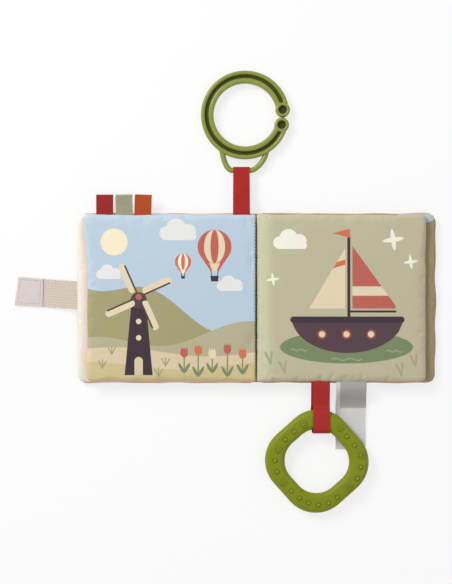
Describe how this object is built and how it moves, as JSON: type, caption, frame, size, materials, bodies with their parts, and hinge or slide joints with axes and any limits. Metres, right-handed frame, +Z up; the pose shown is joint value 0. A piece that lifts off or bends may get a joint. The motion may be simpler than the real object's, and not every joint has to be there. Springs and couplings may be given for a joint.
{
  "type": "crinkle cloth book",
  "caption": "Soft padded cloth book lying open, with ribbon tags, a grooved clip-on ring, a teether on a ribbon and a hook-and-loop closure strap.",
  "frame": {"origin": "under the middle of the spine, on the surface that the open book lies on", "axes": "+X to the right-hand page, +Y to the head of the book, +Z up out of the open pages"},
  "size_m": [0.3645, 0.3809, 0.0139],
  "materials": {
    "cover_inner_front": "printed polyester cloth, cream",
    "cover_inner_back": "printed polyester cloth, olive with a pale blue corner",
    "cover_outer": "plain peach polyester cloth",
    "left_picture": "printed polyester cloth, landscape on pale blue",
    "left_reverse": "plain peach polyester cloth",
    "right_picture": "printed polyester cloth, picture on sage",
    "right_reverse": "plain mauve-brown polyester cloth",
    "batting": "polyester batting",
    "film": "crinkle film",
    "thread": "sewing thread",
    "red_ribbon": "grosgrain ribbon, red",
    "tag_red": "grosgrain ribbon, dark red",
    "tag_sage": "grosgrain ribbon, sage",
    "tag_orange": "grosgrain ribbon, orange",
    "webbing": "woven cotton webbing, undyed",
    "fastener": "hook-and-loop tape, off-white",
    "ring_green": "moulded plastic, leaf green, satin",
    "teether_green": "silicone rubber, olive green",
    "label": "satin label tape, white with a grey block"
  },
  "bodies": {
    "back_cover": {"back_cover_inner_skin": "cover_inner_back", "back_cover_outer_skin": "cover_outer", "back_cover_batting": "batting", "back_cover_crinkle_film": "film", "closure_loop_patch": "fastener", "spine_strip": "cover_outer", "gutter_stitching": "thread"},
    "front_cover": {"front_cover_inner_skin": "cover_inner_front", "front_cover_outer_skin": "cover_outer", "front_cover_batting": "batting", "front_cover_crinkle_film": "film", "strap_root": "webbing"},
    "left_leaf": {"left_leaf_picture_skin": "left_picture", "left_leaf_reverse_skin": "left_reverse", "left_leaf_batting": "batting", "left_leaf_crinkle_film": "film", "tag_red_root": "tag_red", "tag_sage_root": "tag_sage", "tag_orange_root": "tag_orange", "ring_ribbon_root": "red_ribbon"},
    "right_leaf": {"right_leaf_picture_skin": "right_picture", "right_leaf_reverse_skin": "right_reverse", "right_leaf_batting": "batting", "right_leaf_crinkle_film": "film", "teether_ribbon_root": "red_ribbon", "label_root": "label"},
    "tag_red": {"tag_red": "tag_red"},
    "tag_sage": {"tag_sage": "tag_sage"},
    "tag_orange": {"tag_orange": "tag_orange"},
    "ring_ribbon": {"ring_ribbon_loop": "red_ribbon"},
    "c_ring": {"c_ring": "ring_green"},
    "teether_ribbon": {"teether_ribbon_web": "red_ribbon"},
    "teether": {"teether_ring": "teether_green", "teether_ribbon_loop": "red_ribbon"},
    "label": {"label_front": "label", "label_back": "label"},
    "strap": {"strap_web": "webbing"},
    "strap_tip": {"strap_tip": "webbing", "strap_hook_patch": "fastener"}
  },
  "joints": [
    {"name": "cover_fold", "type": "hinge", "parent": "back_cover", "child": "front_cover", "pos_m": [0, 0, 0.0142], "axis": [0, 1, 0], "range_deg": [0, 180]},
    {"name": "left_leaf_turn", "type": "hinge", "parent": "front_cover", "child": "left_leaf", "pos_m": [0, 0, 0.0142], "axis": [0, -1, 0], "range_deg": [-180, 0]},
    {"name": "right_leaf_turn", "type": "hinge", "parent": "back_cover", "child": "right_leaf", "pos_m": [0, 0, 0.0142], "axis": [0, 1, 0], "range_deg": [-180, 0]},
    {"name": "strap_bend", "type": "hinge", "parent": "front_cover", "child": "strap", "pos_m": [-0.1566, 0.0026, 0.0035], "axis": [0, 1, 0], "range_deg": [-80, 96]},
    {"name": "strap_tip_bend", "type": "hinge", "parent": "strap", "child": "strap_tip", "pos_m": [-0.18334, 0.0026, 0.0006], "axis": [0, 1, 0], "range_deg": [-80, 83.8]},
    {"name": "ring_ribbon_swing", "type": "hinge", "parent": "left_leaf", "child": "ring_ribbon", "pos_m": [-0.0129, 0.07525, 0.01065], "axis": [1, 0, 0], "range_deg": [-75, 90]},
    {"name": "ring_swing", "type": "hinge", "parent": "ring_ribbon", "child": "c_ring", "pos_m": [-0.0129, 0.11, 0.004], "axis": [1, 0, 0], "range_deg": [-95, 95]},
    {"name": "teether_ribbon_swing", "type": "hinge", "parent": "right_leaf", "child": "teether_ribbon", "pos_m": [0.0558, -0.07525, 0.01065], "axis": [1, 0, 0], "range_deg": [-90, 0]},
    {"name": "teether_flex", "type": "hinge", "parent": "teether_ribbon", "child": "teether", "pos_m": [0.0558, -0.09156, 0.00745], "axis": [-1, 0, 0], "range_deg": [0, 90]},
    {"name": "label_swing", "type": "hinge", "parent": "right_leaf", "child": "label", "pos_m": [0.0815, -0.07525, 0.01065], "axis": [1, 0, 0], "range_deg": [0, 60]},
    {"name": "tag_red_bend", "type": "hinge", "parent": "left_leaf", "child": "tag_red", "pos_m": [-0.1303, 0.07525, 0.01065], "axis": [1, 0, 0], "range_deg": [-90, 90], "stiffness_Nm_per_rad": 0.003},
    {"name": "tag_sage_bend", "type": "hinge", "parent": "left_leaf", "child": "tag_sage", "pos_m": [-0.1135, 0.07525, 0.01065], "axis": [1, 0, 0], "range_deg": [-90, 90], "stiffness_Nm_per_rad": 0.003},
    {"name": "tag_orange_bend", "type": "hinge", "parent": "left_leaf", "child": "tag_orange", "pos_m": [-0.0975, 0.07525, 0.01065], "axis": [1, 0, 0], "range_deg": [-90, 90], "stiffness_Nm_per_rad": 0.003}
  ]
}
